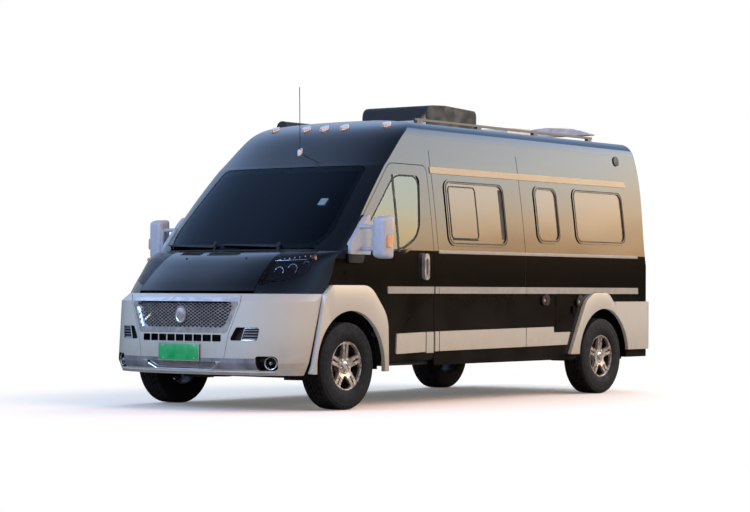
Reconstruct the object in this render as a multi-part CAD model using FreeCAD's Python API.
import FreeCAD, Part
import math
import os

from FreeCAD import Vector

# A high-roof panel van fitted out as a camper. Millimetres, +X forward, +Y to the van's left, +Z up.
# The origin is on the ground, in the middle of the van's length and width.
# A station is a distance behind the foremost point of the front bumper.

# Overall sizes
LENGTH = 5998.0
WHEELBASE = 4035.0
FRONT_OVERHANG = 948.0
HALF_WIDTH = 1020.0
ROOF_Z = 2522.0
BODY_BOTTOM_Z = 300.0
SILL_Z = 345.0
FLOOR_Z = 600.0

# Wall thicknesses of the main panels
WALL = 65.0
SKIN = 25.0
GLASS = 6.0
GLASS_RECESS = 3.0
TRIM_PROUD = 14.0

# Gaps: between fixed panels, round a fixed pane, and round anything that opens
PANEL_GAP = 0.5
PANE_GAP = 0.4
DOOR_GAP = 6.0

# Body section: heights and half widths, from the sill up to the roof
BELT_Z = 1340.0
WAIST_Z = 1870.0
WAIST_Y = 958.0
GUTTER_Z = 2340.0
GUTTER_Y = 885.0
ROOF_EDGE_Z = 2470.0
ROOF_EDGE_Y = 780.0
ROOF_CORNER_Z = 2422.0
ROOF_CORNER_Y = 850.0

# Nose: how far the plan view curves back at its sides, and how square that curve is
NOSE_HALF_WIDTH = 1036.0
NOSE_DEPTH = 600.0
NOSE_POWER = 2.6
TAIL_DEPTH = 160.0
TAIL_POWER = 3.5
NOSE_FULLNESS = [(300.0, 1.0), (900.0, 1.2), (1110.0, 1.2), (1330.0, 0.55), (3000.0, 0.5)]

# Stations and heights of the front, on the centre line
GRILLE_TOP_Z = 900.0
BONNET_LIP = (110.0, 965.0)
BONNET_CROWN = [(157.0, 1029.0), (300.0, 1158.0), (487.0, 1278.0)]
SCREEN_FOOT = (675.0, 1325.0)
SCREEN_MIDDLE = (1048.0, 1706.0)
SCREEN_TOP = (1430.0, 2065.0)
ROOF_FRONT = [(1670.0, 2258.0), (1910.0, 2422.0), (2150.0, 2498.0)]
ROOF_START = 2450.0
# The nose curve runs on a little above the roof, so that the roof's own crown ends it cleanly
ROOF_CLEAR = 14.0
TAIL_STATION = 5930.0
TAIL_CURVE = [(5930.0, 1250.0), (5900.0, 1900.0), (5858.0, 2330.0), (5800.0, 2470.0), (5650.0, 2560.0)]

# Panel joints, as stations
DOOR_FRONT = 1055.0
DOOR_REAR = 2165.0
B_SEAM = 2235.0
MID_SEAM = 3630.0
REAR_SEAM = 5660.0
FIREWALL = 940.0

# Wheels
TYRE_R = 365.0
TYRE_W = 225.0
RIM_R = 203.0
RIM_FLANGE_R = 219.0
AXLE_Z = TYRE_R
FRONT_TRACK = 1810.0
REAR_TRACK = 1830.0
ARCH_R = 465.0
LINER_R = 478.0
LINER_T = 8.0
KINGPIN_Y = 760.0
STUB_R = 30.0
RUNNING_GAP = 0.3

# Cab roof and wings
CAP_Z = 2092.0
WING_TOP_Z = 1346.0
LAMP_DEPTH = 38.0

# Side windows: the proud frame round each pane
FRAME_IN = 12.0
FRAME_OUT = 20.0
FRAME_PROUD = 9.0

# Sliding door and the service hatch on the left
SHUT_GAP = 5.0
HATCH = (4157.0, 4467.0, 612.0, 958.0)
HATCH_GAP = 6.0
HATCH_CORNER = 18.0
HATCH_DEPTH = 300.0
# The lid turns on two small barrel hinges at its front edge: where they stand, and how they are made
LID_AXIS = (4159.0, 1019.5)
LID_HINGES = (670.0, 900.0)
BARREL_R = 5.0
BARREL_HALF = 20.0
BARREL_GAP = 0.1
LEAF_T = 6.0
LEAF_REACH = 16.0
TUB_WALL = 10.0

# Strips and mouldings, as height bands
BELT_PROUD = 6.0
RUB_PROUD = 12.0
FLARE_PROUD = 38.0
RUB_STRIP = (967.0, 1027.0)
BELT_STRIP = (1319.0, 1347.0)
RAIL_STRIPE = (2023.0, 2080.0)
DOOR_MOULDING = [(1600, 451, 14), (1612, 624, 14), (2031, 634, 8), (2029, 462, 8)]

# Mirrors
MIRROR_HEAD = (975.0, 1150.0, 1262.0, 1617.0)
MIRROR_Y = (1130.0, 1300.0)

# Front bumper and grille
BUMPER_T = 30.0
BUMPER_TOP_Z = 962.0
GRILLE_FRAME = [(-476, 640, 40), (476, 640, 40), (600, 934, 50), (-600, 934, 50)]
GRILLE_HOLE = [(-450, 682, 30), (450, 682, 30), (545, 898, 40), (-545, 898, 40)]
SLOT_ROW = (430.0, 572.0, 628.0, 9)
LOWER_GRILLE = [(-300, 340, 20), (300, 340, 20), (430, 415, 20), (-430, 415, 20)]
FOG_RECESS = [(720, 339, 30), (868, 339, 40), (880, 457, 40), (716, 457, 25)]
SIDE_RECESS = [(500, 582, 15), (730, 582, 15), (747, 690, 20), (560, 690, 20)]
MESH_PITCH_Y = 46.0
MESH_PITCH_Z = 27.0
MESH_WEB = 7.0

# Rear bumper
REAR_BUMPER_Z = (420.0, 892.0)
REAR_BUMPER_STEP_Z = 545.0
REAR_BUMPER_WALL = 40.0
TAIL_LAMP = (872.0, 968.0, 1000.0, 1580.0)

FRONT_X = LENGTH / 2
FRONT_AXLE = FRONT_OVERHANG
REAR_AXLE = FRONT_OVERHANG + WHEELBASE
FAR = 4000.0


def station(d):
    """The X of a place that far behind the front bumper."""
    return FRONT_X - d


def polygon(points):
    return Part.Face(Part.makePolygon(points + [points[0]]))


def rounded_wire(corners, radius, place):
    """A closed outline with its corners rounded. Each corner is (u, v) or (u, v, its own radius)."""
    count = len(corners)
    starts, ends, middles = [], [], []
    for i in range(count):
        here, before, after = corners[i], corners[i - 1], corners[(i + 1) % count]
        r = here[2] if len(here) > 2 else radius
        a = (before[0] - here[0], before[1] - here[1])
        b = (after[0] - here[0], after[1] - here[1])
        la, lb = math.hypot(*a), math.hypot(*b)
        a, b = (a[0] / la, a[1] / la), (b[0] / lb, b[1] / lb)
        half = math.acos(max(-1.0, min(1.0, a[0] * b[0] + a[1] * b[1]))) / 2
        back = min(r / math.tan(half), 0.49 * la, 0.49 * lb)
        r = back * math.tan(half)
        mid = (a[0] + b[0], a[1] + b[1])
        lm = math.hypot(*mid)
        reach = r / math.sin(half) - r
        starts.append((here[0] + a[0] * back, here[1] + a[1] * back))
        ends.append((here[0] + b[0] * back, here[1] + b[1] * back))
        middles.append((here[0] + mid[0] / lm * reach, here[1] + mid[1] / lm * reach))
    edges = []
    for i in range(count):
        s, m, e = place(*starts[i]), place(*middles[i]), place(*ends[i])
        nxt = place(*starts[(i + 1) % count])
        if (s - e).Length > 0.01:
            edges.append(Part.Arc(s, m, e).toShape())
        if (e - nxt).Length > 0.01:
            edges.append(Part.LineSegment(e, nxt).toShape())
    return Part.Wire(edges)


def side_prism(corners, y0, y1, radius=0.0):
    """An outline seen from the side, as (station, height), pushed through from y0 to y1."""
    def place(d, z):
        return Vector(station(d), y0, z)
    if radius or any(len(c) > 2 for c in corners):
        face = Part.Face(rounded_wire(corners, radius, place))
    else:
        face = polygon([place(*c) for c in corners])
    return face.extrude(Vector(0, y1 - y0, 0))


def front_prism(corners, d0, d1, radius=0.0):
    """An outline seen from the front, as (y, height), pushed through from station d0 to d1."""
    def place(y, z):
        return Vector(station(d0), y, z)
    if radius or any(len(c) > 2 for c in corners):
        face = Part.Face(rounded_wire(corners, radius, place))
    else:
        face = polygon([place(*c) for c in corners])
    return face.extrude(Vector(d0 - d1, 0, 0))


def block(d0, d1, y0, y1, z0, z1):
    return Part.makeBox(d1 - d0, y1 - y0, z1 - z0, Vector(station(d1), y0, z0))


def rod(start, end, radius):
    """A round bar between two points given as (station, y, z)."""
    a = Vector(station(start[0]), start[1], start[2])
    b = Vector(station(end[0]), end[1], end[2])
    return Part.makeCylinder(radius, (b - a).Length, a, b - a)


def disc_y(d, y0, y1, z, radius):
    """A round disc or bar along Y."""
    return rod((d, y0, z), (d, y1, z), radius)


def mirrored(shape):
    return shape.mirror(Vector(0, 0, 0), Vector(0, 1, 0))


def both_sides(shape):
    return [shape, mirrored(shape)]


def fuse(shapes):
    whole = shapes[0]
    if len(shapes) > 1:
        whole = whole.fuse(shapes[1:])
    return whole.removeSplitter()


def cut(shape, tools):
    return shape.cut(tools) if tools else shape


def biggest(shape):
    return max(shape.Solids, key=lambda s: s.Volume)


def offset_points(points, inset):
    """Moves each point of an open line to its right by inset, square to the line there."""
    moved = []
    for i, (u, v) in enumerate(points):
        before = points[max(i - 1, 0)]
        after = points[min(i + 1, len(points) - 1)]
        dirs = []
        for p, q in ((before, (u, v)), ((u, v), after)):
            length = math.hypot(q[0] - p[0], q[1] - p[1])
            if length > 1e-6:
                dirs.append(((q[0] - p[0]) / length, (q[1] - p[1]) / length))
        normal = (sum(t[1] for t in dirs) / len(dirs), -sum(t[0] for t in dirs) / len(dirs))
        size = normal[0] ** 2 + normal[1] ** 2
        moved.append((u + inset * normal[0] / size, v + inset * normal[1] / size))
    return moved


def spline(points):
    curve = Part.BSplineCurve()
    curve.interpolate(points)
    return curve


def straight(a, b):
    return Part.LineSegment(a, b).toBSpline()


def fullness(z, steps):
    """How much of the plan curve's depth is used at a height, read off between the steps."""
    for (z0, k0), (z1, k1) in zip(steps, steps[1:]):
        if z <= z1:
            return k0 + (k1 - k0) * max(z - z0, 0.0) / (z1 - z0)
    return steps[-1][1]


def swept_by_plan(segments, plan, steps):
    """A solid whose closed side profile is carried, without turning, along a curve seen from above.
    The curve is fuller at some heights than at others, as the steps say."""
    faces = []
    shifts = plan.getPoles()

    def moved(p, shift):
        return p + Vector(shift.x * fullness(p.z, steps), shift.y, 0)

    for curve in segments:
        poles = [[moved(p, s) for s in shifts] for p in curve.getPoles()]
        surface = Part.BSplineSurface()
        surface.buildFromPolesMultsKnots(
            poles, curve.getMultiplicities(), plan.getMultiplicities(), curve.getKnots(), plan.getKnots(),
            False, False, curve.Degree, plan.Degree)
        faces.append(surface.toShape())
    for shift in (shifts[0], shifts[-1]):
        edges = []
        for curve in segments:
            end = curve.copy()
            for i, p in enumerate(curve.getPoles()):
                end.setPole(i + 1, moved(p, shift))
            edges.append(end.toShape())
        faces.append(Part.Face(Part.Wire(edges)))
    shell = Part.Shell(faces)
    shell.sewShape()
    solid = Part.Solid(shell if shell.ShapeType == "Shell" else shell.Shells[0])
    if solid.Volume < 0:
        solid.reverse()
    return solid


def plan_curve(half_width, depth, power, sign):
    """The curve that a nose (sign -1) or tail (sign 1) follows from side to side, seen from above."""
    points = []
    for i in range(-12, 13):
        t = math.sin(math.pi / 2 * i / 12)
        drop = depth * (1 - (1 - abs(t) ** power) ** (1 / power))
        points.append(Vector(sign * drop, half_width * t, 0))
    return spline(points)


def nose_solid(inset):
    chain = [(60, BODY_BOTTOM_Z), (0, 400), (0, GRILLE_TOP_Z), BONNET_LIP, *BONNET_CROWN, SCREEN_FOOT,
             SCREEN_MIDDLE, SCREEN_TOP, *ROOF_FRONT, (ROOF_START, ROOF_Z + ROOF_CLEAR),
             (LENGTH + FAR, ROOF_Z + ROOF_CLEAR)]
    p = offset_points(chain, inset)
    v = [Vector(station(d), 0, z) for d, z in p]
    low = BODY_BOTTOM_Z - (100 if inset > 0 else 0)
    foot = Vector(v[0].x, 0, low)
    back = Vector(v[-1].x, 0, low)
    lip = 3
    screen = lip + len(BONNET_CROWN) + 1
    top = screen + 2
    roof = top + len(ROOF_FRONT) + 1
    segments = [straight(v[0], v[1]), straight(v[1], v[2]), straight(v[2], v[3]), spline(v[lip:screen + 1]),
                spline(v[screen:top + 1]), spline(v[top:roof + 1]), straight(v[roof], v[-1]),
                straight(v[-1], back), straight(back, foot)]
    if (foot - v[0]).Length > 0.01:
        segments.append(straight(foot, v[0]))
    return swept_by_plan(segments, plan_curve(NOSE_HALF_WIDTH - inset, NOSE_DEPTH, NOSE_POWER, -1),
                         NOSE_FULLNESS)


def tail_solid(inset):
    chain = [(TAIL_STATION, BODY_BOTTOM_Z - 150), *TAIL_CURVE, (5000, 2700)]
    moved = offset_points(chain, -inset)
    v = [Vector(station(d), 0, z) for d, z in moved]
    front_top = Vector(FRONT_X + FAR, 0, v[-1].z)
    front_low = Vector(FRONT_X + FAR, 0, v[0].z)
    segments = [straight(v[0], v[1]), spline(v[1:-1]), straight(v[-2], v[-1]), straight(v[-1], front_top),
                straight(front_top, front_low), straight(front_low, v[0])]
    return swept_by_plan(segments, plan_curve(HALF_WIDTH + 15 - inset, TAIL_DEPTH, TAIL_POWER, 1),
                         [(0.0, 1.0), (3000.0, 1.0)])


def section_solid(inset):
    """The van's cross-section, pushed through its whole length."""
    low = BODY_BOTTOM_Z - (100 if inset > 0 else 0)
    half = [(HALF_WIDTH, low), (HALF_WIDTH, BELT_Z), (WAIST_Y, WAIST_Z), (GUTTER_Y, GUTTER_Z),
            (ROOF_CORNER_Y, ROOF_CORNER_Z), (ROOF_EDGE_Y, ROOF_EDGE_Z), (0, ROOF_Z)]
    half = offset_points(half, -inset)
    half = half[:-1] + [(0, ROOF_Z - inset)]
    x = -LENGTH / 2 - FAR
    left = [Vector(x, y, z) for y, z in half]
    right = [Vector(x, -y, z) for y, z in half]
    edges = [Part.LineSegment(left[0], left[1]).toShape(), Part.Arc(left[1], left[2], left[3]).toShape(),
             Part.Arc(left[3], left[4], left[5]).toShape(), Part.Arc(left[5], left[6], right[5]).toShape(),
             Part.Arc(right[5], right[4], right[3]).toShape(), Part.Arc(right[3], right[2], right[1]).toShape(),
             Part.LineSegment(right[1], right[0]).toShape(), Part.LineSegment(right[0], left[0]).toShape()]
    return Part.Face(Part.Wire(edges)).extrude(Vector(LENGTH + 2 * FAR, 0, 0))


SKINS = {}


def body_solid(inset):
    """The whole body's skin as a solid, with its walls moved in by inset."""
    if inset not in SKINS:
        SKINS[inset] = section_solid(inset).common(tail_solid(inset)).common(nose_solid(inset))
    return SKINS[inset]


def panel(region, outer, inner):
    """The piece of body wall that lies in a region, between two depths under the skin."""
    return region.common(body_solid(outer)).cut(body_solid(inner))


def side_piece(region, outer, inner):
    """The same for the straight part of the sides, where neither nose nor tail curves in."""
    return region.common(section_solid(outer)).cut(section_solid(inner))


NODES = {}


def node(name, shapes):
    """Writes down a piece, as one solid or as several that don't touch."""
    solids = []
    for shape in shapes if isinstance(shapes, list) else [shapes]:
        solids.extend(shape.Solids)
    NODES[name] = solids


# Openings seen from the front, as (y, height)
SCREEN_OUTLINE = [(-790, 1338, 130), (790, 1338, 130), (872, 1475, 200), (795, 2062, 70), (-795, 2062, 70),
                  (-872, 1475, 200)]
LAMP_OUTLINE = [(628, 1022, 30), (934, 1100, 90), (912, 1290, 60), (862, 1330, 40), (597, 1296, 20)]
BONNET_SIDE = (621.0, 577.0)
BONNET_FRONT_Z = 985.0
BONNET_REAR = 625.0
BONNET_REAR_GAP = 13.0
BONNET_PIN_Y = 588.0
BONNET_PIN_Z = 1315.0
BONNET_PIN_R = 4.5
PIN_GAP = 0.05
COWL_Z = 1332.0
COWL_SIDE = 800.0

# Outlines seen from the side, as (station, height)
FLARE_TOP_Z = 1035.0
FRONT_FLARE = [(600, 960, 20), (700, FLARE_TOP_Z, 60), (1210, FLARE_TOP_Z, 230), (1455, 770, 300), (1468, 310, 10),
               (430, 310, 10)]
REAR_FLARE = [(4362, 394, 10), (4478, 600, 60), (4650, 905, 160), (4790, 976, 180), (5060, 976, 160),
              (5190, 850, 20), (5330, 394, 10)]
DOOR_OUTLINE = [(DOOR_FRONT, 1046, 8), (DOOR_FRONT, 1240, 60), (925, 1352, 25), (1625, 2084, 130),
                (DOOR_REAR, 2084, 60), (DOOR_REAR, 392, 40), (1476, 392, 10), (1464, 790, 290), (1226, 1046, 220)]
DOOR_GLASS = [(1100, 1402, 20), (1300, 1350, 300), (1660, 1322, 200), (1968, 1470, 260), (2040, 1995, 60),
              (1672, 1992, 110)]
SIDE_WINDOWS_LEFT = [(2418, 3330, 1410, 1960), (3870, 4240, 1460, 1960), (4553, 5445, 1468, 1963)]
SIDE_WINDOWS_RIGHT = [(4553, 5445, 1468, 1963)]
SLIDING_WINDOW = (2470, 3330, 1410, 1960)
SLIDING_DOOR = (2250.0, 3560.0, 392.0, 2070.0)
WINDOW_CORNER = 70.0
REAR_DOOR = (3.0, 800.0, 560.0, 2290.0)
REAR_WINDOW = (130.0, 680.0, 1430.0, 1960.0)


def arch_cutter(axle, radius, y0, y1):
    """A wheel arch: a round hole over the axle, open downwards."""
    round_part = disc_y(axle, y0, y1, AXLE_Z, radius)
    return round_part.fuse(block(axle - radius, axle + radius, y0, y1, 0, AXLE_Z)).removeSplitter()


def window_outline(box, grow=0.0):
    d0, d1, z0, z1 = box
    return [(d0 - grow, z0 - grow), (d1 + grow, z0 - grow), (d1 + grow, z1 + grow), (d0 - grow, z1 + grow)]


def half_space(d0, d1, y0, y1, z0, z1):
    return block(d0, d1, y0, y1, z0, z1)


def build_shell():
    """The fixed panels of the box behind the cab, the roof and the cab's frame."""
    rear_end = LENGTH
    arch = arch_cutter(REAR_AXLE, ARCH_R, 0, 1200)
    tail_hole = front_prism([(-10, REAR_DOOR[2] - DOOR_GAP), (REAR_DOOR[1] + DOOR_GAP, REAR_DOOR[2] - DOOR_GAP),
                             (REAR_DOOR[1] + DOOR_GAP, REAR_DOOR[3] + DOOR_GAP), (-10, REAR_DOOR[3] + DOOR_GAP)],
                            5700, rear_end + 100)
    box = block(DOOR_REAR + DOOR_GAP, rear_end, 0, 1100, SILL_Z, GUTTER_Z)
    side = panel(box, 0, WALL).cut([arch, tail_hole])
    side = side.cut(block(5600, rear_end, 0, 780, SILL_Z, REAR_DOOR[2] - DOOR_GAP))
    left = side.cut([side_prism(window_outline(w), 700, 1200, WINDOW_CORNER) for w in SIDE_WINDOWS_LEFT])
    hatch_hole = side_prism(window_outline(HATCH, HATCH_GAP), 900, 1200, HATCH_CORNER + HATCH_GAP)
    left = biggest(left.cut(hatch_hole))
    left = fuse([left] + [b for z in LID_HINGES for b in lid_barrels(z)[1]])
    right = side.cut([side_prism(window_outline(w), 700, 1200, WINDOW_CORNER) for w in SIDE_WINDOWS_RIGHT])
    right = right.cut(side_prism(window_outline(SLIDING_DOOR, SHUT_GAP), 700, 1200, 60))
    node("side_panel_left", biggest(left))
    node("side_panel_right", biggest(mirrored(right)))
    roof = panel(block(DOOR_REAR + DOOR_GAP, rear_end, -1100, 1100, GUTTER_Z + PANEL_GAP, ROOF_Z + 100), 0, WALL)
    node("roof_panel", biggest(roof))
    cap = panel(block(900, DOOR_REAR + DOOR_GAP - PANEL_GAP, -1100, 1100, CAP_Z, ROOF_Z + 100), 0, WALL)
    # The curtain's rail, hung across under the cab roof
    rail = block(2276, 2314, -INNER_Y, INNER_Y, CURTAIN_TOP_Z + RUNNING_GAP, CURTAIN_TOP_Z + 22)
    rail = rail.common(body_solid(WALL + RUNNING_GAP))
    node("cab_roof", [biggest(cap), biggest(rail)])


def build_sliding_door():
    """The side door on the right. It is shut: it moves out and then back, which no single hinge can do."""
    region = side_prism(window_outline(SLIDING_DOOR), 700, 1200, 60)
    door = side_piece(region, 0, WALL)
    door = door.cut(side_prism(window_outline(SLIDING_WINDOW), 700, 1200, WINDOW_CORNER))
    # The middle roller's track in the box side, with its cover strip
    node("sliding_door", mirrored(door))


def build_side_windows():
    panes = []
    for w in SIDE_WINDOWS_LEFT:
        panes.append(side_piece(side_prism(window_outline(w, -PANE_GAP), 700, 1200, WINDOW_CORNER), GLASS_RECESS,
                                GLASS_RECESS + GLASS))
    for w in SIDE_WINDOWS_RIGHT + [SLIDING_WINDOW]:
        pane = side_piece(side_prism(window_outline(w, -PANE_GAP), 700, 1200, WINDOW_CORNER), GLASS_RECESS,
                          GLASS_RECESS + GLASS)
        panes.append(mirrored(pane))
    node("side_windows", panes)
    frames = []
    for w in SIDE_WINDOWS_LEFT:
        ring = side_prism(window_outline(w, -FRAME_IN), 700, 1200, WINDOW_CORNER)
        outer = side_prism(window_outline(w, FRAME_OUT), 700, 1200, WINDOW_CORNER + FRAME_OUT)
        frames.append(side_piece(outer, -FRAME_PROUD, -RUNNING_GAP).cut(ring))
    for w in SIDE_WINDOWS_RIGHT + [SLIDING_WINDOW]:
        ring = side_prism(window_outline(w, -FRAME_IN), 700, 1200, WINDOW_CORNER)
        outer = side_prism(window_outline(w, FRAME_OUT), 700, 1200, WINDOW_CORNER + FRAME_OUT)
        frames.append(mirrored(side_piece(outer, -FRAME_PROUD, -RUNNING_GAP).cut(ring)))
    node("window_frames", frames)


def bow_drop(y, z):
    """How far behind its foremost point the nose lies, at a distance from the middle and a height."""
    share = 1 - (1 - (abs(y) / NOSE_HALF_WIDTH) ** NOSE_POWER) ** (1 / NOSE_POWER)
    return NOSE_DEPTH * fullness(z, NOSE_FULLNESS) * share


def ahead_of_bow(d):
    """Everything over the bonnet that lies ahead of a line curved like the nose."""
    z = 900
    line = spline([Vector(station(d + bow_drop(y, BONNET_PIN_Z)), y, z) for y in range(-840, 841, 120)])
    ahead = Vector(station(-200), 0, z)
    left = Vector(ahead.x, line.EndPoint.y, z)
    right = Vector(ahead.x, line.StartPoint.y, z)
    edges = [line.toShape(), Part.LineSegment(line.EndPoint, left).toShape(),
             Part.LineSegment(left, right).toShape(), Part.LineSegment(right, line.StartPoint).toShape()]
    return Part.Face(Part.Wire(edges)).extrude(Vector(0, 0, 600))


def build_cab_front():
    """Windscreen frame, wings, bonnet, scuttle and lamps, all cut out of one curved skin."""
    screen_hole = front_prism(SCREEN_OUTLINE, -500, 1700, 60)
    door_hole = side_prism(grown(DOOR_OUTLINE, DOOR_GAP), -1200, 1200, 60)
    frame = panel(block(500, DOOR_REAR + DOOR_GAP - PANEL_GAP, -1100, 1100, WING_TOP_Z, CAP_Z - PANEL_GAP), 0, WALL)
    frame = frame.cut([screen_hole, door_hole])
    node("screen_frame", biggest(frame))
    glass = panel(front_prism(grown(SCREEN_OUTLINE, -PANE_GAP), -100, 1700, 60), GLASS_RECESS, GLASS_RECESS + GLASS)
    node("windscreen", biggest(glass))

    bonnet_region = front_prism([(-BONNET_SIDE[0], BONNET_FRONT_Z), (BONNET_SIDE[0], BONNET_FRONT_Z),
                                 (BONNET_SIDE[1], 1420), (-BONNET_SIDE[1], 1420)], -100, 1000)
    bonnet = biggest(panel(bonnet_region.common(ahead_of_bow(BONNET_REAR)), 0, SKIN))
    pin_d = BONNET_REAR + bow_drop(BONNET_PIN_Y, BONNET_PIN_Z)
    pin = disc_y(pin_d, BONNET_PIN_Y - 20, BONNET_PIN_Y + 24, BONNET_PIN_Z, BONNET_PIN_R)
    node("bonnet", fuse([bonnet] + both_sides(pin)))
    bonnet_hole = front_prism([(-BONNET_SIDE[0] - DOOR_GAP, 900), (BONNET_SIDE[0] + DOOR_GAP, 900),
                               (BONNET_SIDE[0] + DOOR_GAP, BONNET_FRONT_Z),
                               (BONNET_SIDE[1] + DOOR_GAP, 1420), (-BONNET_SIDE[1] - DOOR_GAP, 1420),
                               (-BONNET_SIDE[0] - DOOR_GAP, BONNET_FRONT_Z)], -100, 1000)
    bonnet_hole = bonnet_hole.common(ahead_of_bow(BONNET_REAR + BONNET_REAR_GAP))
    cowl_region = block(BONNET_REAR - 60, 1000, -COWL_SIDE, COWL_SIDE, 1200, COWL_Z)
    cowl = panel(cowl_region, 0, SKIN)
    socket = disc_y(pin_d, BONNET_PIN_Y, BONNET_PIN_Y + 28, BONNET_PIN_Z, BONNET_PIN_R + PIN_GAP)
    cowl = cowl.cut([screen_hole, bonnet_hole] + both_sides(front_prism(LAMP_OUTLINE, -100, 900)) + both_sides(socket))
    node("cowl_panel", [biggest(cowl)] + build_wipers())
    lamp_hole = front_prism(LAMP_OUTLINE, -100, 900)
    lamp = panel(front_prism(grown(LAMP_OUTLINE, -PANE_GAP), -100, 900), 0, LAMP_DEPTH)
    lamp = biggest(lamp)
    node("front_lamps", both_sides(lamp) + build_fog_lamps())

    wing = panel(block(-100, DOOR_FRONT - DOOR_GAP, 0, 1100, BUMPER_TOP_Z + PANEL_GAP, WING_TOP_Z - PANEL_GAP), 0, SKIN)
    flare_hole = side_prism(grown(FRONT_FLARE, PANE_GAP), 500, 1200)
    wing = wing.cut([bonnet_hole, lamp_hole, block(BONNET_REAR - 60 - PANE_GAP, 1000, 0, COWL_SIDE + PANE_GAP, 1200, COWL_Z + 30),
                     flare_hole, screen_hole, door_hole])
    wing = biggest(wing)
    node("wings", both_sides(wing))


def grown(corners, by):
    """An outline moved outwards by a distance, or inwards if it is negative. Corner radii follow."""
    area = sum(a[0] * b[1] - b[0] * a[1] for a, b in zip(corners, corners[1:] + corners[:1]))
    sign = 1 if area > 0 else -1
    moved = []
    count = len(corners)
    for i in range(count):
        here, before, after = corners[i], corners[i - 1], corners[(i + 1) % count]
        a = (here[0] - before[0], here[1] - before[1])
        b = (after[0] - here[0], after[1] - here[1])
        la, lb = math.hypot(*a), math.hypot(*b)
        na = (a[1] / la * sign, -a[0] / la * sign)
        nb = (b[1] / lb * sign, -b[0] / lb * sign)
        mid = (na[0] + nb[0], na[1] + nb[1])
        scale = by * 2 / (mid[0] ** 2 + mid[1] ** 2)
        point = (here[0] + mid[0] * scale, here[1] + mid[1] * scale)
        cross = (a[0] * b[1] - a[1] * b[0]) * sign
        if len(here) > 2:
            point += (max(here[2] + (by if cross > 0 else -by), 1.0),)
        moved.append(point)
    return moved


def build_doors():
    """The two cab doors with their glass, trim and mirrors."""
    door = panel(side_prism(DOOR_OUTLINE, 0, 1200, 60), 0, WALL)
    glass_hole = side_prism(DOOR_GLASS, 0, 1200, 60)
    door = biggest(door.cut(glass_hole))
    glass = biggest(panel(side_prism(grown(DOOR_GLASS, -PANE_GAP), 0, 1200, 60), GLASS_RECESS,
                          GLASS_RECESS + GLASS))
    trim = door_trim()
    for side, turn in (("left", lambda s: s), ("right", mirrored)):
        node("door_" + side, turn(door))
        node("door_glass_" + side, turn(glass))
        node("door_trim_" + side, [turn(t) for t in trim + [build_mirror()]])


def door_trim():
    """Silver strips and the handle on a cab door, a hair proud of its skin."""
    low = panel(side_prism(DOOR_MOULDING, 500, 1200), -TRIM_PROUD, -RUNNING_GAP)
    belt_band = side_prism(grown(DOOR_GLASS, 46), 500, 1200, 60).cut(side_prism(grown(DOOR_GLASS, 4), 500, 1200, 60))
    belt_band = belt_band.common(block(1180, 2140, 0, 1200, 1200, 1990))
    belt = panel(belt_band, -BELT_PROUD, -RUNNING_GAP)
    rub = panel(block(DOOR_FRONT + 430, DOOR_REAR - 8, 500, 1200, RUB_STRIP[0], RUB_STRIP[1]), -RUB_PROUD,
                -RUNNING_GAP)
    handle = panel(side_prism([(1988, 1086), (2060, 1086), (2060, 1314), (1988, 1314)], 500, 1200, 34), -34,
                   -RUNNING_GAP)
    handle = handle.cut(side_prism([(2008, 1130), (2040, 1130), (2040, 1270), (2008, 1270)], 500, 1200, 15))
    return [biggest(s) for s in (low, belt, rub, handle)]


def build_mirror():
    """A two-arm outside mirror: a foot on the door's front corner, two arms and a tall head."""
    foot = side_prism([(935, 1372), (1150, 1330), (1165, 1400), (1180, 1640)], 1000, 1052, 12)
    foot = foot.cut(body_solid(-RUNNING_GAP))
    head_top = MIRROR_HEAD[3]
    head = side_prism([(MIRROR_HEAD[0], MIRROR_HEAD[2], 60), (MIRROR_HEAD[1], MIRROR_HEAD[2], 40),
                       (MIRROR_HEAD[1], head_top, 40), (MIRROR_HEAD[0], head_top, 90)], MIRROR_Y[0], MIRROR_Y[1])
    arms = [block(1010, 1100, 1040, MIRROR_Y[0] + 30, z, z + 42) for z in (1362, 1545)]
    return fuse([biggest(foot), head] + arms)


def build_rear_doors():
    y0, y1, z0, z1 = REAR_DOOR
    region = front_prism([(y0, z0), (y1, z0), (y1, z1), (y0, z1)], 5600, LENGTH + 100, 18)
    door = panel(region, 0, WALL)
    w0, w1, v0, v1 = REAR_WINDOW
    hole = front_prism([(w0, v0), (w1, v0), (w1, v1), (w0, v1)], 5600, LENGTH + 100, 60)
    pane_region = front_prism([(w0 + PANE_GAP, v0 + PANE_GAP), (w1 - PANE_GAP, v0 + PANE_GAP),
                               (w1 - PANE_GAP, v1 - PANE_GAP), (w0 + PANE_GAP, v1 - PANE_GAP)], 5600,
                              LENGTH + 100, 60)
    pane = biggest(panel(pane_region, GLASS_RECESS, GLASS_RECESS + GLASS))
    door = biggest(door.cut(hole))
    node("rear_door_left", door)
    node("rear_door_right", mirrored(door))
    node("rear_glass_left", pane)
    node("rear_glass_right", mirrored(pane))


def lid_notch(z):
    d, y = LID_AXIS
    return block(d - 9, d + LEAF_REACH - 4, y - 40, y + 20, z - 2.2 * BARREL_HALF, z + 2.2 * BARREL_HALF)


def lid_barrels(z):
    """One hinge of the locker lid: its moving barrel and leaf, and the two fixed ones above and below."""
    d, y = LID_AXIS
    moving = fuse([rod((d, y, z - BARREL_HALF), (d, y, z + BARREL_HALF), BARREL_R),
                   block(d, d + LEAF_REACH, y - LEAF_T / 2, y + LEAF_T / 2, z - BARREL_HALF, z + BARREL_HALF)])
    fixed = []
    for z0, z1 in ((z - 2 * BARREL_HALF, z - BARREL_HALF - BARREL_GAP),
                   (z + BARREL_HALF + BARREL_GAP, z + 2 * BARREL_HALF)):
        fixed.append(fuse([rod((d, y, z0), (d, y, z1), BARREL_R),
                           block(d - LEAF_REACH, d, y - LEAF_T / 2, y + LEAF_T / 2, z0, z1)]))
    return moving, fixed


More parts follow.
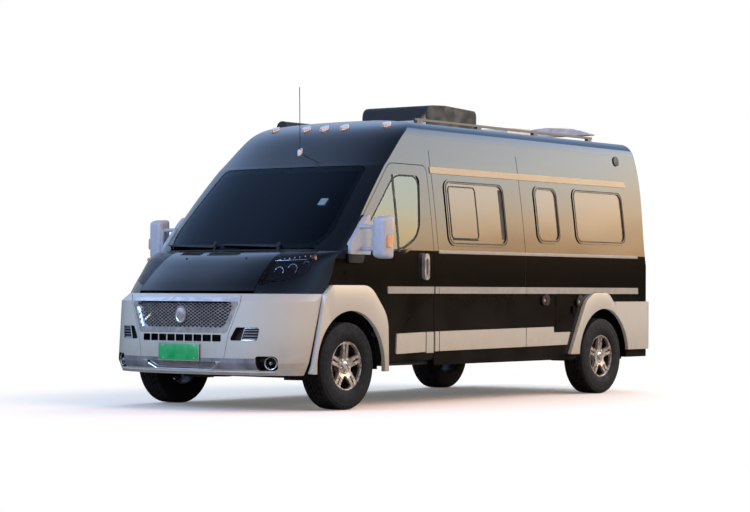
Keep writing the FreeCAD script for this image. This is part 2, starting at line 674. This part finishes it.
def build_hatch():
    """The service locker on the left: an open tub behind a hinged lid."""
    d0, d1, z0, z1 = HATCH
    lid = side_piece(side_prism(window_outline(HATCH), 900, 1200, HATCH_CORNER), 0, SKIN)
    latch = side_piece(side_prism(window_outline((d1 - 34, d1 - 12, 780, 860)), 900, 1200, 8), -16, -RUNNING_GAP)
    lid = lid.cut([lid_notch(z) for z in LID_HINGES])
    node("service_lid", [fuse([lid] + [lid_barrels(z)[0] for z in LID_HINGES]), latch])
    tub = tub_box(0).cut(tub_box(-TUB_WALL).fuse(block(d0 - 20, d1 + 20, INNER_Y - 20, HALF_WIDTH, z0 - 10, z1 + 10)))
    node("service_tub", tub)


def tub_box(grow):
    d0, d1, z0, z1 = HATCH
    y_in = INNER_Y - HATCH_DEPTH
    return block(d0 - 30 - grow, d1 + 30 + grow, y_in - grow, INNER_Y - RUNNING_GAP, z0 - 25 - grow, z1 + 30 + grow)


def build_side_fittings():
    """Filler caps, the round vent and the side markers' holders on the left, and their like on the right."""
    caps = []
    for d, z, r in ((3988.0, 910.0, 52.0), (4585.0, 910.0, 50.0), (5446.0, 2283.0, 48.0)):
        caps.append(side_piece(disc_y(d, 800, 1200, z, r), -10, -RUNNING_GAP))
    marker = panel(side_prism([(893, 1126), (949, 1126), (949, 1154), (893, 1154)], 900, 1200, 13), -8, -RUNNING_GAP)
    return caps + both_sides(marker)


def build_side_trim():
    """Strips along both sides, in the lengths that the body's seams give them."""
    strips = []

    def strip(d0, d1, z0, z1, proud, corner=3.0):
        strips.append(side_piece(side_prism(window_outline((d0, d1, z0, z1)), 600, 1200, corner), -proud,
                                 -RUNNING_GAP))
    strip(B_SEAM + 3, REAR_SEAM, *BELT_STRIP, BELT_PROUD)
    strip(B_SEAM + 3, MID_SEAM - 2, *RUB_STRIP, RUB_PROUD, 6)
    strip(MID_SEAM + 2, REAR_SEAM, *RUB_STRIP, RUB_PROUD, 6)
    strip(DOOR_REAR + 12, B_SEAM - 2, *RUB_STRIP, RUB_PROUD, 3)
    flare = side_prism(grown(REAR_FLARE, 3), 500, 1300)
    strips = [s.cut(flare) for s in strips]
    for outline in MOULDINGS:
        strips.append(side_piece(side_prism(outline, 600, 1200), -TRIM_PROUD, -RUNNING_GAP))
    strip(2214, 5552, *RAIL_STRIPE, BELT_PROUD)
    right = [mirrored(s) for s in strips]
    node("side_trim", strips + right + build_side_fittings())


MOULDINGS = [[(2174, 464, 6), (2176, 636, 6), (2230, 637, 6), (2228, 465, 6)],
             [(2240, 465, 6), (2242, 637, 6), (3618, 652, 6), (3616, 478, 6)],
             [(3628, 478, 6), (3630, 652, 6), (4096, 657, 6), (4100, 604, 6), (4390, 606, 6), (4335, 486, 10)]]


def build_flares():
    front = side_prism(FRONT_FLARE, 600, 1300).cut(arch_cutter(FRONT_AXLE, ARCH_R - 6, 500, 1400))
    front = panel(front, -FLARE_PROUD, -RUNNING_GAP)
    rear = side_prism(REAR_FLARE, 600, 1300).cut(arch_cutter(REAR_AXLE, ARCH_R - 6, 500, 1400))
    rear = panel(rear, -FLARE_PROUD, -RUNNING_GAP)
    rear = rear.cut(block(5190 - PANEL_GAP, 5600, 500, 1400, 0, 980))
    node("arch_flares", both_sides(biggest(front)) + both_sides(biggest(rear)))


def plan_wire(points, radius, z):
    return rounded_wire(points, radius, lambda d, y: Vector(station(d), y, z))


def build_front_bumper():
    """The front bumper, one curved shell with its grilles' openings and lamp pockets."""
    seam = [(-50, 250), (395, 290), (600 - 2, 962), (-50, 962)]
    region = side_prism(seam, -1200, 1200)
    shell = region.common(body_solid(-NOSE_PROUD)).cut(body_solid(BUMPER_T - NOSE_PROUD))
    shell = biggest(shell.common(block(-100, 700, -1200, 1200, BODY_BOTTOM_Z - 10, BUMPER_TOP_Z)))
    holes = [front_prism(GRILLE_FRAME, -100, 400), front_prism(LOWER_GRILLE, -100, 400)]
    half, z0, z1, count = SLOT_ROW
    pitch = 2 * half / count
    for i in range(count):
        y = -half + i * pitch
        holes.append(front_prism([(y + 6, z0), (y + pitch - 6, z0), (y + pitch - 6, z1), (y + 6, z1)], -100, 400, 6))
    for outline in (FOG_RECESS, SIDE_RECESS):
        pocket = front_prism(outline, -100, 700)
        holes += both_sides(pocket)
    bumper = shell.cut(holes)
    pockets = []
    for outline in (FOG_RECESS, SIDE_RECESS):
        cup = front_prism(grown(outline, 6), -100, 700).common(body_solid(BUMPER_T - NOSE_PROUD - 5)).cut(
            body_solid(BUMPER_T - NOSE_PROUD + 22))
        cup = cup.cut(front_prism(grown(outline, -1), -100, 700).cut(body_solid(BUMPER_T - NOSE_PROUD + 16)))
        pockets += both_sides(cup)
    node("front_bumper", biggest(fuse([bumper] + pockets)))


def build_grille():
    """The bright surround and the diamond mesh, on a slightly bowed plate made of flat facets."""
    inner = front_prism(GRILLE_HOLE, -100, 500)
    ring = front_prism(grown(GRILLE_FRAME, -PANE_GAP), -100, 500).cut(inner)
    ring = biggest(ring.common(body_solid(-NOSE_PROUD)).cut(body_solid(BUMPER_T)))
    node("grille_frame", ring)
    ys = [-560, -420, -280, -140, 0, 140, 280, 420, 560]


    def bow(y):
        return BUMPER_T + MESH_GAP + bow_drop(y, GRILLE_TOP_Z)
    outer = [Vector(station(bow(y)), y, 650) for y in ys]
    back = [Vector(station(bow(y) + MESH_T), y, 650) for y in reversed(ys)]
    plate = polygon(outer + back).extrude(Vector(0, 0, 280))
    plate = plate.common(front_prism(grown(GRILLE_HOLE, 12), -100, 500)).common(body_solid(BUMPER_T + RUNNING_GAP))
    holes = []
    rows = int(260 / MESH_PITCH_Z)
    columns = int(1150 / MESH_PITCH_Y)
    a = (MESH_PITCH_Y - MESH_WEB) / 2
    b = (MESH_PITCH_Z - MESH_WEB * MESH_PITCH_Z / MESH_PITCH_Y) / 2
    for i in range(-rows, rows + 1):
        for j in range(-columns // 2, columns // 2 + 1):
            y = (j + (i % 2) / 2) * MESH_PITCH_Y
            z = 790 + i * MESH_PITCH_Z / 2
            limit = 450 + (z - 682) * (545 - 450) / (898 - 682) - a
            if abs(y) < limit and 682 + b < z < 898 - b:
                holes.append(front_prism([(y - a, z), (y, z - b), (y + a, z), (y, z + b)], -50, 300))
    plate = plate.cut(Part.makeCompound(holes))
    half = []
    for outline in (LOWER_GRILLE,):
        base = front_prism(grown(outline, 10), -100, 400)
        half.append(base.common(body_solid(BUMPER_T - NOSE_PROUD + RUNNING_GAP)).cut(
            body_solid(BUMPER_T - NOSE_PROUD + 8)))
    node("grille_mesh", [plate, half[0]])


MESH_GAP = 1.0
MESH_T = 6.0
NOSE_PROUD = 0.0


def build_fog_lamps():
    lens = rod((190, 815, 400), (300, 815, 400), 46)
    lens = lens.common(body_solid(14)).cut(body_solid(BUMPER_T - NOSE_PROUD + 15.7))
    return both_sides(biggest(lens))


def build_tail_lamps():
    y0, y1, z0, z1 = TAIL_LAMP
    lamp = panel(front_prism([(y0, z0), (y1, z0), (y1, z1), (y0, z1)], 5600, LENGTH + 100, 20), -16, -RUNNING_GAP)
    node("tail_lamps", both_sides(biggest(lamp)))


def build_rear_bumper():
    """Corner pieces on both sides and a low step between them, under the doors."""
    def bar(grow, z0, z1):
        points = [(5190 + PANEL_GAP, -1052 + grow), (5830, -1052 + grow, 60), (LENGTH - grow, -960 + grow, 110),
                  (LENGTH - grow, 960 - grow, 110), (5830, 1052 - grow, 60), (5190 + PANEL_GAP, 1052 - grow)]
        face = Part.Face(plan_wire(points, 20, z0))
        return face.extrude(Vector(0, 0, z1 - z0))
    whole = bar(0, *REAR_BUMPER_Z).cut(bar(REAR_BUMPER_WALL, REAR_BUMPER_Z[0] - 10, REAR_BUMPER_Z[1] + 10))
    whole = whole.cut(block(5000, 5190 + PANEL_GAP * 2, -980, 980, 0, 1000))
    gap = REAR_DOOR[1] + 30
    whole = whole.cut(block(5400, LENGTH + 100, -gap, gap, REAR_BUMPER_STEP_Z, 1000))
    whole = whole.cut(body_solid(-RUNNING_GAP))
    whole = whole.cut(both_sides(arch_cutter(REAR_AXLE, ARCH_R - 6, 500, 1400)))
    node("rear_bumper", sorted(whole.Solids, key=lambda q: -q.Volume)[:3])


def revolve_y(points, radius=0.0):
    """A ring turned about the Y axis from its section, as (radius, y)."""
    if radius or any(len(c) > 2 for c in points):
        face = Part.Face(rounded_wire(points, radius, lambda r, w: Vector(r, w, 0)))
    else:
        face = polygon([Vector(r, w, 0) for r, w in points])
    return face.revolve(Vector(0, 0, 0), Vector(0, 1, 0), 360)


def disc_prism(corners, w0, w1, radius=0.0):
    """An outline in the wheel's own plane, pushed through along its axle."""
    face = Part.Face(rounded_wire(corners, radius, lambda x, z: Vector(x, w0, z)))
    return face.extrude(Vector(0, w1 - w0, 0))


# Wheel parts, along the axle from the middle plane of the tyre outwards
HUB_FACE_W = 55.0
SPOKE_T = 22.0
SPOKE_OUT_W = 92.0
SPOKE_HALF = 36.0
SLOT_HALF = 9.0
BARREL_T = 6.0
BARREL_W = 98.0
BORE_R = STUB_R + RUNNING_GAP
SPOKE_PAIRS = 5
DISC_R = 150.0
DISC_T = 26.0


def make_tyre():
    half = TYRE_W / 2
    section = [(RIM_R, -half + 14, 4), (RIM_R + 30, -half + 6, 20), (RIM_R + 85, -half, 60),
               (TYRE_R - 14, -half + 13, 14), (TYRE_R, -half + 34, 20), (TYRE_R, half - 34, 20),
               (TYRE_R - 14, half - 13, 14), (RIM_R + 85, half, 60), (RIM_R + 30, half - 6, 20),
               (RIM_R, half - 14, 4)]
    return revolve_y(section)


def make_rim():
    """A cast wheel: barrel, flanges, and a dished face cut out into five pairs of spokes."""
    outer = RIM_R - RUNNING_GAP
    inner = outer - BARREL_T
    barrel = revolve_y([(inner, -BARREL_W), (outer, -BARREL_W), (outer, BARREL_W), (inner, BARREL_W)])
    lip = TYRE_W / 2 - 14 + RUNNING_GAP
    flanges = [revolve_y([(inner, w0), (RIM_FLANGE_R, w0), (RIM_FLANGE_R, w1), (inner, w1)])
               for w0, w1 in ((lip, lip + 7), (-lip - 7, -lip))]
    face = revolve_y([(BORE_R, HUB_FACE_W), (86, HUB_FACE_W), (100, SPOKE_OUT_W - SPOKE_T - 12),
                      (outer - 2, SPOKE_OUT_W - SPOKE_T), (outer - 2, SPOKE_OUT_W), (110, SPOKE_OUT_W - 6),
                      (70, SPOKE_OUT_W - 14), (BORE_R, SPOKE_OUT_W - 14)])
    turn = 360.0 / SPOKE_PAIRS
    half = math.radians(turn / 2)
    cuts = []

    def along(t):
        return (t * math.cos(half) + SPOKE_HALF * math.sin(half), t * math.sin(half) - SPOKE_HALF * math.cos(half))
    a, b = along(76.0), along(182.0)
    window = disc_prism([(a[0], -a[1], 8), (b[0], -b[1], 10), (inner - 6, -30, 60), (inner - 6, 30, 60),
                         (b[0], b[1], 10), (a[0], a[1], 8)], HUB_FACE_W - 10, SPOKE_OUT_W + 10)
    slot = disc_prism([(104, -SLOT_HALF + 3, 5), (inner - 12, -SLOT_HALF, 6), (inner - 12, SLOT_HALF, 6),
                       (104, SLOT_HALF - 3, 5)], HUB_FACE_W - 10, SPOKE_OUT_W + 10)
    bolt = Part.makeCylinder(11, 60, Vector(56, SPOKE_OUT_W - 26, 0), Vector(0, 1, 0))
    for i in range(SPOKE_PAIRS):
        for tool, start in ((window, turn / 2), (slot, 0), (bolt, turn / 2)):
            piece = tool.copy()
            piece.rotate(Vector(0, 0, 0), Vector(0, 1, 0), -90 + start + turn * i)
            cuts.append(piece)
    cap = revolve_y([(0, SPOKE_OUT_W - 20), (38, SPOKE_OUT_W - 20), (38, SPOKE_OUT_W - 10), (24, SPOKE_OUT_W - 5),
                     (0, SPOKE_OUT_W - 4)])
    rim = fuse([barrel, face.cut(cuts), cap] + flanges)
    return biggest(rim)


def make_brake_disc():
    hat = revolve_y([(BORE_R + 4, HUB_FACE_W - DISC_T - 24), (DISC_R, HUB_FACE_W - DISC_T - 24),
                     (DISC_R, HUB_FACE_W - 24), (85, HUB_FACE_W - 24), (85, HUB_FACE_W - PANEL_GAP),
                     (BORE_R + 4, HUB_FACE_W - PANEL_GAP)])
    return hat


def placed_wheel(shape, d, y):
    """Puts a wheel part at its axle, with its outer face away from the van."""
    piece = shape.copy() if y > 0 else mirrored(shape)
    piece.translate(Vector(station(d), y, AXLE_Z))
    return piece


def build_wheels():
    tyre, rim, disc = make_tyre(), make_rim(), make_brake_disc()
    for end, d, track in (("front", FRONT_AXLE, FRONT_TRACK), ("rear", REAR_AXLE, REAR_TRACK)):
        for side, sign in (("left", 1), ("right", -1)):
            y = sign * track / 2
            node(f"tyre_{end}_{side}", placed_wheel(tyre, d, y))
            node(f"rim_{end}_{side}", [placed_wheel(rim, d, y), placed_wheel(disc, d, y)])


STRUT_R = 22.0
STRUT_FOOT_Z = 600.0
ARM_Z = 236.0
ARM_T = 30.0


def make_knuckle():
    """The left front knuckle: stub axle, upright, and eyes above and below on the steering axis."""
    y_c = FRONT_TRACK / 2
    stub = disc_y(FRONT_AXLE, y_c - 75, y_c + SPOKE_OUT_W - 22, AXLE_Z, STUB_R)
    hub = disc_y(FRONT_AXLE, y_c - 60, y_c + HUB_FACE_W - DISC_T - 24 - 5, AXLE_Z, 62)
    upright = block(FRONT_AXLE - 45, FRONT_AXLE + 45, KINGPIN_Y - 28, y_c - 40, AXLE_Z - 60, AXLE_Z + 70)
    leg = block(FRONT_AXLE - 20, FRONT_AXLE + 20, KINGPIN_Y - 26, KINGPIN_Y + 22, AXLE_Z + 60, STRUT_FOOT_Z - 25)
    top = rod((FRONT_AXLE, KINGPIN_Y, STRUT_FOOT_Z - 60), (FRONT_AXLE, KINGPIN_Y, STRUT_FOOT_Z - PANEL_GAP), 29)
    low = rod((FRONT_AXLE, KINGPIN_Y, ARM_Z + ARM_T + PANEL_GAP), (FRONT_AXLE, KINGPIN_Y, AXLE_Z - 50), 26)
    arm = block(FRONT_AXLE + 40, FRONT_AXLE + 135, KINGPIN_Y - 26, KINGPIN_Y - 2, AXLE_Z - 30, AXLE_Z - 8)
    caliper = block(FRONT_AXLE - 152, FRONT_AXLE - 90, y_c - 48, y_c + 44, AXLE_Z - 70, AXLE_Z + 70)
    caliper = caliper.cut(disc_y(FRONT_AXLE, y_c - 2, y_c + HUB_FACE_W, AXLE_Z, DISC_R + 6))
    bridge = block(FRONT_AXLE - 120, FRONT_AXLE - 40, y_c - 48, y_c - 14, AXLE_Z - 50, AXLE_Z + 50)
    return biggest(fuse([stub, hub, upright, leg, top, low, arm, caliper, bridge]))


def build_running_gear():
    knuckle = make_knuckle()
    node("knuckle_left", knuckle)
    node("knuckle_right", mirrored(knuckle))
    # Front crossmember, lower arms and struts
    cross = block(FRONT_AXLE - 120, FRONT_AXLE + 200, -420, 420, 255, 340)
    arm = side_arm()
    strut = rod((FRONT_AXLE, KINGPIN_Y, STRUT_FOOT_Z), (FRONT_AXLE, KINGPIN_Y, 800), STRUT_R)
    spring = rod((FRONT_AXLE, KINGPIN_Y, 752), (FRONT_AXLE, KINGPIN_Y, 1000), 62)
    spring = spring.common(disc_y(FRONT_AXLE, 600, 900, AXLE_Z, LINER_R - RUNNING_GAP))
    legs = [block(FRONT_AXLE - 60, FRONT_AXLE + 60, 400, 430, 330, RAIL_Z[0])]
    parts = [cross, arm, mirrored(arm)] + legs + [mirrored(q) for q in legs]
    subframe = [fuse(parts)] + both_sides(fuse([strut, spring]))
    # Rear beam with its stubs and leaf springs
    y_c = REAR_TRACK / 2
    beam = disc_y(REAR_AXLE, -y_c + 60, y_c - 60, AXLE_Z, 42)
    stubs = disc_y(REAR_AXLE, -y_c - SPOKE_OUT_W + 22, y_c + SPOKE_OUT_W - 22, AXLE_Z, STUB_R)
    hub = disc_y(REAR_AXLE, y_c - 75, y_c + HUB_FACE_W - DISC_T - 24 - 5, AXLE_Z, 62)
    saddle = block(REAR_AXLE - 55, REAR_AXLE + 55, SPRING_Y - 45, SPRING_Y + 45, AXLE_Z - 30, AXLE_Z + 56)
    axle = fuse([beam, stubs, hub, mirrored(hub), saddle, mirrored(saddle)])
    node("rear_axle", [axle] + both_sides(leaf_spring()))
    return subframe


SPRING_Y = 560.0
SPRING_W = 35.0
RAIL_Y = (440.0, 500.0)
RAIL_Z = (470.0, 598.0)


def side_arm():
    """A lower wishbone: two legs from the crossmember meeting at the ball joint."""
    points = [(FRONT_AXLE - 100, 415), (FRONT_AXLE - 30, KINGPIN_Y), (FRONT_AXLE + 30, KINGPIN_Y),
              (FRONT_AXLE + 190, 415), (FRONT_AXLE + 120, 415), (FRONT_AXLE + 10, 690), (FRONT_AXLE - 10, 690),
              (FRONT_AXLE - 40, 415)]
    face = polygon([Vector(station(d), y, ARM_Z) for d, y in points])
    legs = face.extrude(Vector(0, 0, ARM_T))
    eye = rod((FRONT_AXLE, KINGPIN_Y, ARM_Z), (FRONT_AXLE, KINGPIN_Y, ARM_Z + ARM_T), 30)
    return legs.fuse(eye).removeSplitter()


def leaf_spring():
    """A two-leaf spring, bowed, with its ends hung under the rail on a bracket and a shackle."""
    z_mid = AXLE_Z + 56
    ends = 640.0
    rise = 70.0
    main = bowed_bar(ends, z_mid, rise, 14)
    second = bowed_bar(ends * 0.6, z_mid + 12.5, rise * 0.36, 13)
    pads = []
    for sign in (-1, 1):
        d = REAR_AXLE + sign * ends
        pads.append(block(d - 40, d + 40, RAIL_Y[1] + PANEL_GAP, SPRING_Y + SPRING_W, z_mid + rise - 20, RAIL_Z[1]))
    return fuse([main, second] + pads)


def bowed_bar(reach, z, rise, thick):
    y0, y1 = SPRING_Y - SPRING_W, SPRING_Y + SPRING_W

    def point(d, h):
        return Vector(station(d), y0, h)
    low = Part.Arc(point(REAR_AXLE - reach, z + rise), point(REAR_AXLE, z), point(REAR_AXLE + reach, z + rise))
    high = Part.Arc(point(REAR_AXLE + reach, z + rise + thick), point(REAR_AXLE, z + thick),
                    point(REAR_AXLE - reach, z + rise + thick))
    edges = [low.toShape(), Part.LineSegment(low.EndPoint, high.StartPoint).toShape(), high.toShape(),
             Part.LineSegment(high.EndPoint, low.StartPoint).toShape()]
    return Part.Face(Part.Wire(edges)).extrude(Vector(0, y1 - y0, 0))


FLOOR_T = 36.0
HITCH_SPACING = (120.0, 50.0)
HITCH_Z = 534.0
HITCH_BOLT_R = 6.5
INNER_Y = HALF_WIDTH - WALL
REAR_LINER_Y = 752.0
FRONT_LINER_Y = 552.0


def liner(d, y0, y1):
    """A wheelhouse: a half drum over the wheel, closed on its inner side."""
    drum = disc_y(d, y0, y1, AXLE_Z, LINER_R + LINER_T)
    drum = drum.fuse(block(d - LINER_R - LINER_T, d + LINER_R + LINER_T, y0, y1, AXLE_Z - 40, AXLE_Z))
    hollow = disc_y(d, y0 + LINER_T, y1 + 10, AXLE_Z, LINER_R)
    hollow = hollow.fuse(block(d - LINER_R, d + LINER_R, y0 + LINER_T, y1 + 10, 0, AXLE_Z))
    shell = drum.cut(hollow)
    return shell.common(block(d - 600, d + 600, y0, y1, AXLE_Z - 40, 1000)).removeSplitter()


def liner_space(d, y0, y1):
    whole = disc_y(d, y0 - PANEL_GAP, y1, AXLE_Z, LINER_R + LINER_T + PANEL_GAP)
    return whole.fuse(block(d - LINER_R - LINER_T - PANEL_GAP, d + LINER_R + LINER_T + PANEL_GAP, y0 - PANEL_GAP, y1,
                            0, AXLE_Z))


def build_underbody():
    spaces = both_sides(liner_space(FRONT_AXLE, FRONT_LINER_Y, 1100)) + both_sides(
        liner_space(REAR_AXLE, REAR_LINER_Y, 1100))
    y = INNER_Y - PANEL_GAP
    floor = block(FIREWALL_D, LENGTH - 140, -y, y, FLOOR_Z, FLOOR_Z + FLOOR_T).cut(spaces)
    inside = body_solid(WALL + PANEL_GAP)
    # The tail doors' inner corners swing in here as they open
    corner = block(5822, LENGTH, REAR_DOOR[1] - 90, 1100, 0, 1000)
    floor = biggest(floor.common(inside).cut([tub_box(PANEL_GAP)] + both_sides(corner)))
    firewall = block(FIREWALL_D - 24, FIREWALL_D - PANEL_GAP, -y, y, FLOOR_Z, 1285).cut(spaces).common(inside)
    front = liner(FRONT_AXLE, FRONT_LINER_Y, INNER_Y - PANEL_GAP)
    front = front.common(body_solid(SKIN + PANEL_GAP))
    rear = liner(REAR_AXLE, REAR_LINER_Y, INNER_Y - PANEL_GAP)
    rear = rear.cut(block(REAR_AXLE - 75, REAR_AXLE + 75, REAR_LINER_Y - 5, REAR_LINER_Y + LINER_T + 5, 0,
                          AXLE_Z + 70))
    sill = block(1480, REAR_AXLE - LINER_R - 60, 880, INNER_Y - PANEL_GAP, 350, FLOOR_Z - PANEL_GAP)
    node("floor", [floor, biggest(firewall), sill.cut(tub_box(PANEL_GAP)), mirrored(sill)])
    node("wheelhouses", both_sides(biggest(front)) + both_sides(biggest(rear)))
    rails = []
    for y0, y1 in (RAIL_Y, (-RAIL_Y[1], -RAIL_Y[0])):
        rails.append(block(260, LENGTH - 150, y0, y1, RAIL_Z[0], RAIL_Z[1] + 2 - PANEL_GAP))
    members = [block(d, d + 60, -RAIL_Y[0] - 5, RAIL_Y[0] + 5, RAIL_Z[0] + 20, RAIL_Z[1] - 20)
               for d in (1700, 2700, 3700, 4500, 5750)]
    # The beam behind the front bumper, which the radiator stands against
    members.append(block(200 + RUNNING_GAP, 262, -RAIL_Y[1], RAIL_Y[1], RAIL_Z[0], RAIL_Z[1]))
    frame = fuse(rails + members)
    for y in (-HITCH_SPACING[0] / 2, HITCH_SPACING[0] / 2):
        for z in (HITCH_Z - HITCH_SPACING[1] / 2, HITCH_Z + HITCH_SPACING[1] / 2):
            frame = frame.cut(rod((5700, y, z), (5850, y, z), HITCH_BOLT_R))
    node("chassis", [frame] + build_running_gear())


FIREWALL_D = 884.0


def build_engine_bay():
    engine = block(290, 790, -330, 360, 400, 1010)
    mounts = [block(470, 590, -RAIL_Y[0] + RUNNING_GAP, -320, 500, 570),
              block(470, 590, 350, RAIL_Y[0] - RUNNING_GAP, 500, 570)]
    radiator = block(150, 200, -460, 460, 380, 930)
    engine = biggest(engine.common(body_solid(SKIN + 30)))
    node("engine_block", [fuse([engine] + mounts), radiator])


def build_under_floor_units():
    top = FLOOR_Z - RUNNING_GAP
    tank = side_prism([(3380, 360, 60), (4100, 360, 60), (4100, top, 20), (3380, top, 20)], 540, 840)
    fuel = side_prism([(2300, 350, 60), (3200, 350, 60), (3200, top, 20), (2300, top, 20)], -840, -540)
    box = side_prism([(1700, 370, 40), (2500, 370, 40), (2500, 480, 40), (1700, 480, 40)], -150, 150)
    pipe = rod((2400, 0, 442), (5300, 0, 442), 28)
    hangers = [block(d + 20, d + 40, -8, 8, 455, RAIL_Z[0] + 20 - RUNNING_GAP) for d in (1700, 2700, 3700, 4500)]
    node("under_floor_units", [tank, fuel, fuse([box, pipe] + hangers)])


def build_interior():
    dash = side_prism([(FIREWALL_D, 900), (1010, 900, 60), (1150, 1030, 60), (1210, 1180, 40), (1190, 1335, 40),
                       (1010, 1345, 50), (800, 1300, 20), (760, 1290), (760, 1270), (FIREWALL_D, 1270)],
                      -INNER_Y + DASH_END_GAP, INNER_Y - DASH_END_GAP)
    dash = dash.common(body_solid(WALL + 5)).cut(block(700, FIREWALL_D, -1000, 1000, 600, 1286))
    back = (HUB_BACK + RUNNING_GAP) * math.cos(math.atan(STEER_SLOPE))
    column = rod((1060, STEER_C[1], STEER_C[2] - (STEER_C[0] - 1060) * STEER_SLOPE),
                 (STEER_C[0] - back, STEER_C[1], STEER_C[2] - back * STEER_SLOPE), 34)
    node("dashboard", fuse([biggest(dash), column]))
    seats = []
    for y in (SEAT_Y, -SEAT_Y):
        base = block(1560, 2000, y - 200, y + 200, FLOOR_Z + FLOOR_T + PANEL_GAP, 930)
        cushion = side_prism([(1500, 930, 30), (2060, 930, 30), (2060, 1080, 50), (1500, 1100, 60)], y - 250, y + 250)
        back = side_prism([(1985, 1060, 30), (2080, 1050, 30), (2185, 1640, 50), (2085, 1660, 50)], y - 240, y + 240)
        head = side_prism([(2100, 1690, 40), (2190, 1680, 40), (2210, 1860, 40), (2130, 1870, 40)], y - 140, y + 140)
        post = block(2120, 2160, y - 60, y + 60, 1620, 1720)
        seats.append(fuse([base, cushion, back, head, post]))
    node("cab_seats", seats)
    ripple = []
    count = 26
    y0 = -CURTAIN_HALF
    pitch = 2 * CURTAIN_HALF / count
    edge, other = [], []
    for i in range(count * 2 + 1):
        off = 16 if i % 2 else -16
        edge.append(Vector(station(2290 + off), y0 + i * pitch / 2, FLOOR_Z + 60))
        other.append(Vector(station(2300 + off), y0 + i * pitch / 2, FLOOR_Z + 60))
    sheet = polygon(edge + list(reversed(other))).extrude(Vector(0, 0, CURTAIN_TOP_Z - FLOOR_Z - 60))
    node("cab_curtain", sheet)
    node("steering_wheel", steering_wheel())


# The dashboard ends short of the doors, whose front corners swing past it
DASH_END_GAP = 98.0
CURTAIN_TOP_Z = 2230.0
SEAT_Y = 470.0
STEER_C = (1330.0, 470.0, 1385.0)
STEER_SLOPE = math.tan(math.radians(38.0))
STEER_R = 195.0
HUB_BACK = 35.0
CURTAIN_HALF = 825.0


def steering_wheel():
    """A rim, three spokes and a hub, built flat and then tilted onto the column."""
    rim = Part.makeTorus(STEER_R, 15)
    hub = Part.makeCylinder(60, HUB_BACK + 15, Vector(0, 0, -HUB_BACK))
    spokes = []
    for angle in (90, 210, 330):
        spoke = Part.makeBox(STEER_R - 30, 36, 14, Vector(30, -18, -14))
        spoke.rotate(Vector(0, 0, 0), Vector(0, 0, 1), angle)
        spokes.append(spoke)
    wheel = fuse([rim, hub] + spokes)
    wheel.rotate(Vector(0, 0, 0), Vector(0, 1, 0), -(90 - math.degrees(math.atan(STEER_SLOPE))))
    wheel.translate(Vector(station(STEER_C[0]), STEER_C[1], STEER_C[2]))
    return biggest(wheel)


def build_roof_equipment():
    over = body_solid(-RUNNING_GAP)
    ac = side_prism([(2890, 2480), (2890, 2560, 40), (2990, 2700, 120), (3250, 2712, 200), (3760, 2690, 90),
                     (3830, 2560, 60), (3830, 2480)], -370, 370)
    plan = Part.Face(plan_wire([(2880, -370), (3840, -370), (3840, 370), (2880, 370)], 110, 2400))
    ac = ac.common(plan.extrude(Vector(0, 0, 400))).cut(over)
    node("air_conditioner", biggest(ac))
    tube = rod((2370, -870, 2506), (5400, -870, 2506), 58)
    holders = [block(d, d + 60, -880, -800, 2380, 2520) for d in (2500, 3850, 5220)]
    awning = fuse([tube] + holders).cut(over)
    node("awning", biggest(awning))
    rails = []
    bar = block(2330, 5330, 668, 696, 2504, 2524)
    feet = [block(d, d + 70, 664, 700, 2440, 2506) for d in (2350, 3300, 4250, 5240)]
    rail = biggest(fuse([bar] + feet).cut(over))
    node("roof_rails", both_sides(rail))
    vent = side_prism([(4530, 2480), (4545, 2590, 30), (4960, 2600, 30), (4980, 2480)], -210, 210)
    vent = biggest(vent.cut(over))
    mast = rod((5650, 0, 2480), (5650, 0, 2590), 26).cut(over)
    foot = rod((5650, 0, 2480), (5650, 0, 2545), 80).cut(over)
    wing = Part.Face(rounded_wire([(-500, 2585, 20), (-300, 2640, 100), (0, 2662, 200), (300, 2640, 100),
                                   (500, 2585, 20), (480, 2570, 15), (-480, 2570, 15)], 20,
                                  lambda y, z: Vector(station(5585), y, z))).extrude(Vector(-130, 0, 0))
    aerial = biggest(fuse([mast, foot, wing]))
    lamps = []
    for y, d in ((0, 1912), (216, 1925), (-216, 1925), (632, 1990), (-632, 1990)):
        lens = Part.makeCone(48, 34, 300, Vector(station(d), y, 2300), Vector(0, 0, 1))
        lamps.append(biggest(lens.common(body_solid(-22)).cut(over)))
    node("marker_lamps", lamps)
    whip_foot = rod((1590, -20, 2100), (1590, -20, 2260), 22).common(body_solid(-26)).cut(over)
    whip = rod((1590, -20, 2226), (1580, -20, 2780), 3.5)
    node("roof_fittings", [vent, aerial, biggest(fuse([biggest(whip_foot), whip]))])


def build_wipers():
    """Two arms on the scuttle with their blades just clear of the glass."""
    arms = []
    over = body_solid(-RUNNING_GAP)
    for y in (470.0, -230.0):
        spindle = rod((700, y, 1250), (700, y, 1420), 17)
        spindle = biggest(spindle.common(body_solid(-30)).cut(over))
        blade = front_prism([(y - 620, 1372), (y - 20, 1352), (y + 10, 1360), (y + 10, 1372), (y - 620, 1384)], 500, 1000)
        blade = biggest(blade.common(body_solid(-16)).cut(over))
        arms.append(fuse([spindle, blade]))
    return arms


def build_all():
    build_shell()
    build_cab_front()
    build_sliding_door()
    build_side_windows()
    build_doors()
    build_rear_doors()
    build_hatch()
    build_side_trim()
    build_flares()
    build_front_bumper()
    build_grille()
    build_tail_lamps()
    build_rear_bumper()
    build_wheels()
    build_underbody()
    build_engine_bay()
    build_under_floor_units()
    build_interior()
    build_roof_equipment()


build_all()
os.makedirs("parts", exist_ok=True)
for name, solids in NODES.items():
    shape = solids[0] if len(solids) == 1 else Part.makeCompound(solids)
    if not shape.isValid() or shape.Volume <= 0:
        print("check", name, shape.isValid(), shape.Volume)
    shape.exportStep(os.path.join("parts", name + ".step"))
print(len(NODES), "pieces")
